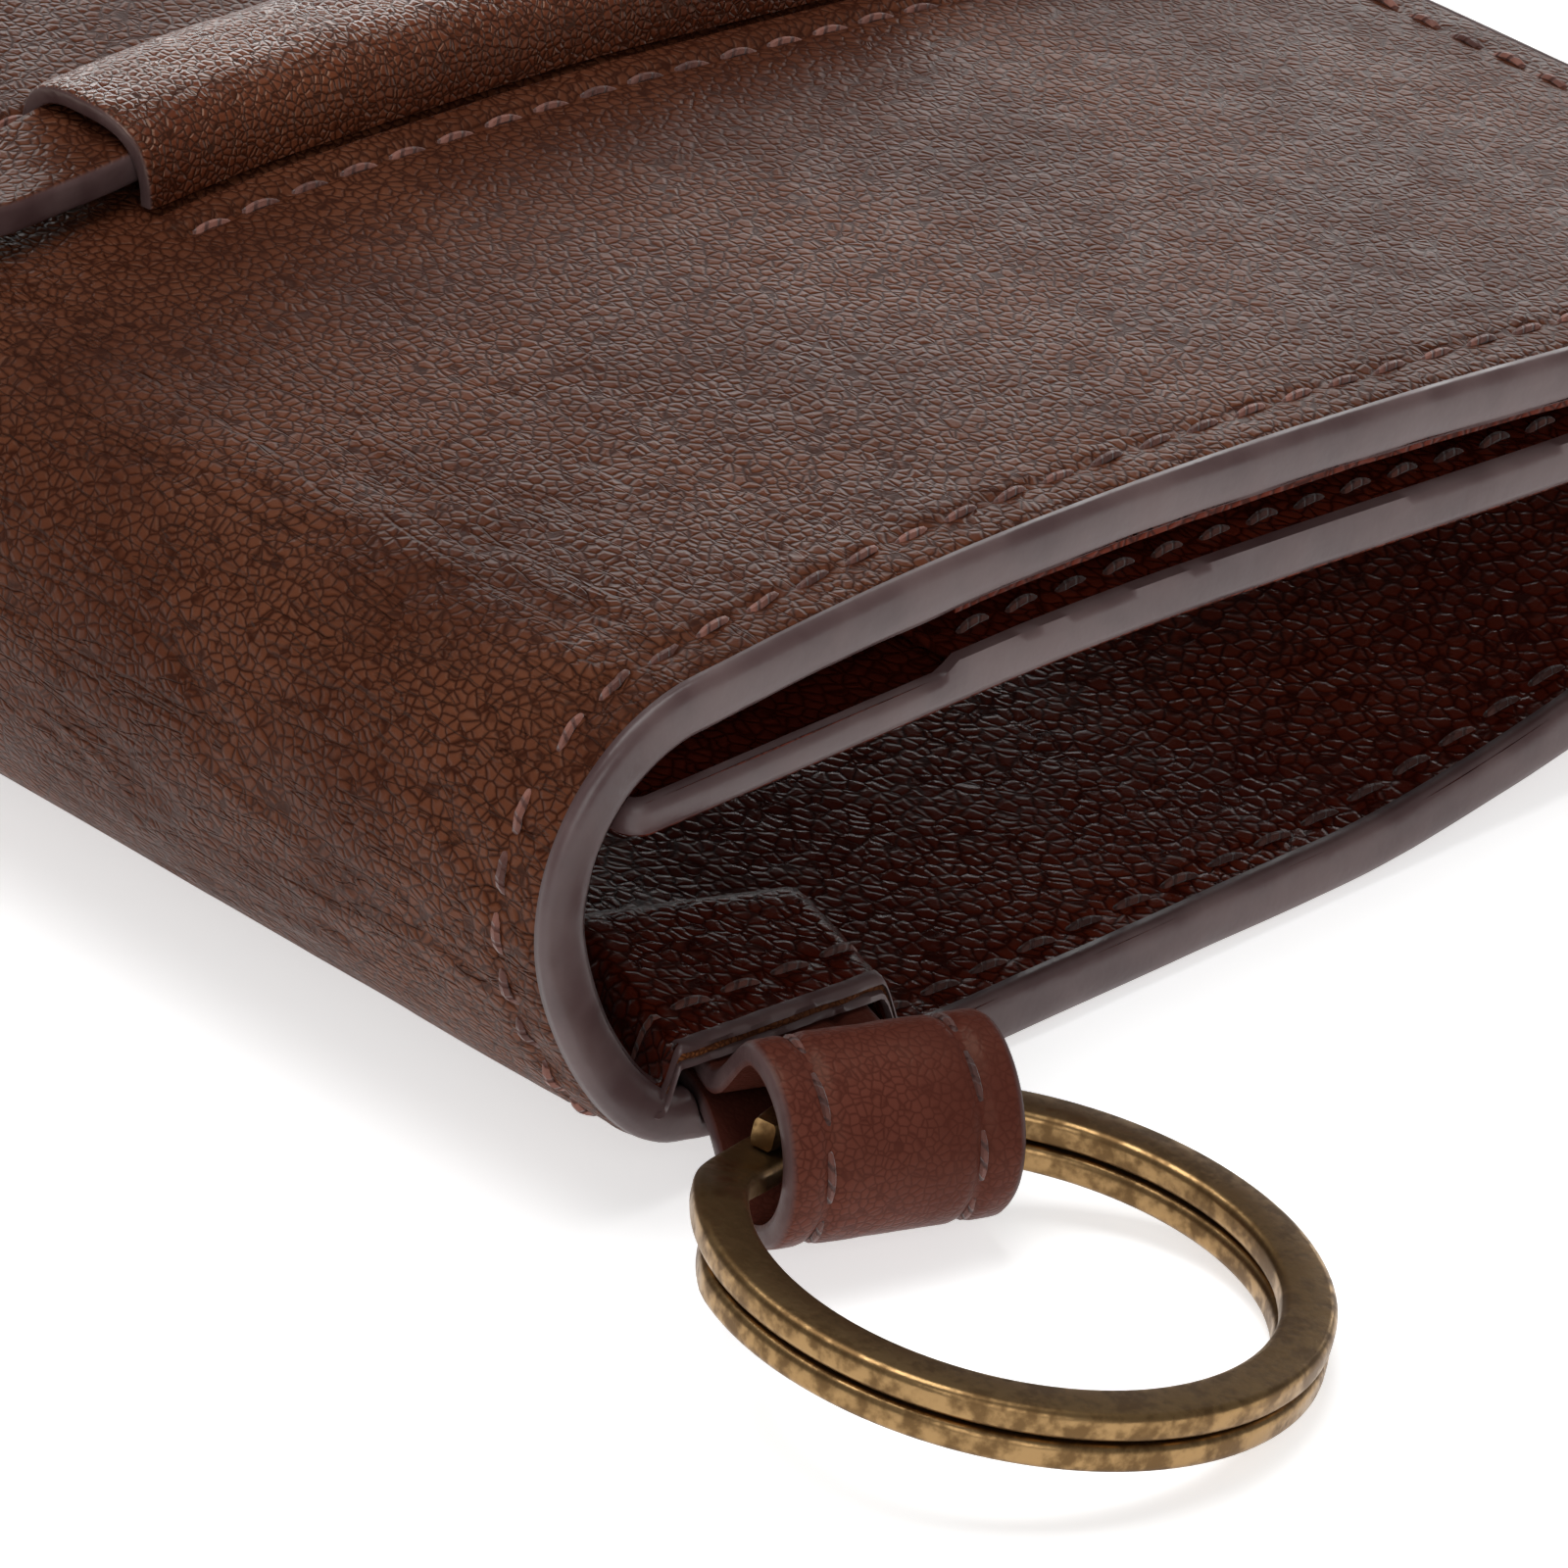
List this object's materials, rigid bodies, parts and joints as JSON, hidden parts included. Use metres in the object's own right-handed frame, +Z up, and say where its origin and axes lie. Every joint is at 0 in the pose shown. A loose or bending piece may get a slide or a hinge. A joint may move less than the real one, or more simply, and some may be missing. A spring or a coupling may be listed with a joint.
{
  "type": "business card case",
  "caption": "Bifold leather business card case with a gusseted card pocket, a strap that closes through a keeper, and a split ring on a leather tab.",
  "frame": {"origin": "on the flat of the back cover, where the closed case rests on a table", "axes": "+X from the spine to the open side, +Y from the ring end to the far end, +Z up through the closed case"},
  "size_m": [0.0866, 0.1263, 0.0266],
  "materials": {
    "outer_leather": "full grain with a soft sheen, painted cut edges",
    "lining_leather": "glazed and crinkled",
    "tab_leather": "smooth, waxed",
    "thread": "waxed twisted thread",
    "antique_brass": "antiqued, satin"
  },
  "bodies": {
    "back": {"back_outer": "outer_leather", "back_lining": "lining_leather", "back_edge_thread": "thread", "ring_tab": "tab_leather", "tab_thread_spine_side": "thread", "tab_thread_open_side": "thread", "strap_root_face": "outer_leather", "strap_root_backing": "outer_leather", "strap_root_thread": "thread"},
    "spine_lower": {"spine_lower_outer": "outer_leather", "spine_lower_lining": "lining_leather", "spine_lower_thread_near": "thread", "spine_lower_thread_far": "thread"},
    "spine_upper": {"spine_upper_outer": "outer_leather", "spine_upper_lining": "lining_leather", "spine_upper_thread_near": "thread", "spine_upper_thread_far": "thread"},
    "front": {"front_outer": "outer_leather", "front_lining": "lining_leather", "front_edge_thread": "thread", "keeper": "outer_leather", "keeper_thread_near": "thread", "keeper_thread_far": "thread", "gusset_near": "lining_leather", "gusset_far": "lining_leather"},
    "pocket": {"pocket_panel": "lining_leather", "pocket_thread_near": "thread", "pocket_thread_far": "thread"},
    "strap_bend": {"strap_bend_face": "outer_leather", "strap_bend_backing": "outer_leather"},
    "strap_tongue": {"strap_tongue_face": "outer_leather", "strap_tongue_backing": "outer_leather"},
    "ring": {"split_ring": "antique_brass"}
  },
  "joints": [
    {"name": "cover_open", "type": "hinge", "parent": "spine_lower", "child": "spine_upper", "pos_m": [-0.034, 0, 0.0134], "axis": [0, -1, 0], "range_deg": [0, 88]},
    {"name": "spine_foot", "type": "hinge", "parent": "back", "child": "spine_lower", "pos_m": [-0.027, 0, 0.002], "axis": [0, -1, 0], "range_deg": [0, 44]},
    {"name": "spine_shoulder", "type": "hinge", "parent": "spine_upper", "child": "front", "pos_m": [-0.0251, 0, 0.0223], "axis": [0, -1, 0], "range_deg": [0, 44]},
    {"name": "pocket_open", "type": "hinge", "parent": "front", "child": "pocket", "pos_m": [0.042, 0, 0.01505], "axis": [0, -1, 0], "range_deg": [0, 8], "deforming": ["gusset_near", "gusset_far"]},
    {"name": "strap_open", "type": "hinge", "parent": "back", "child": "strap_bend", "pos_m": [0.04776, 0, 0.00754], "axis": [0, 1, 0], "range_deg": [0, 85], "deforming": ["strap_bend_face", "strap_bend_backing", "strap_tongue_face", "strap_tongue_backing"]},
    {"name": "strap_straighten", "type": "hinge", "parent": "strap_bend", "child": "strap_tongue", "pos_m": [0.04765, 0, 0.01798], "axis": [0, 1, 0], "range_deg": [0, 85]},
    {"name": "ring_swing", "type": "hinge", "parent": "back", "child": "ring", "pos_m": [-0.02359, -0.05501, 0.00474], "axis": [-0.9481, 0.3081, 0.0785], "range_deg": [-90, 95]}
  ],
  "couplings": [
    {"joint": "spine_foot", "follows": "cover_open", "ratio": 0.5},
    {"joint": "spine_shoulder", "follows": "cover_open", "ratio": 0.5},
    {"joint": "strap_straighten", "follows": "strap_open", "ratio": 1}
  ]
}
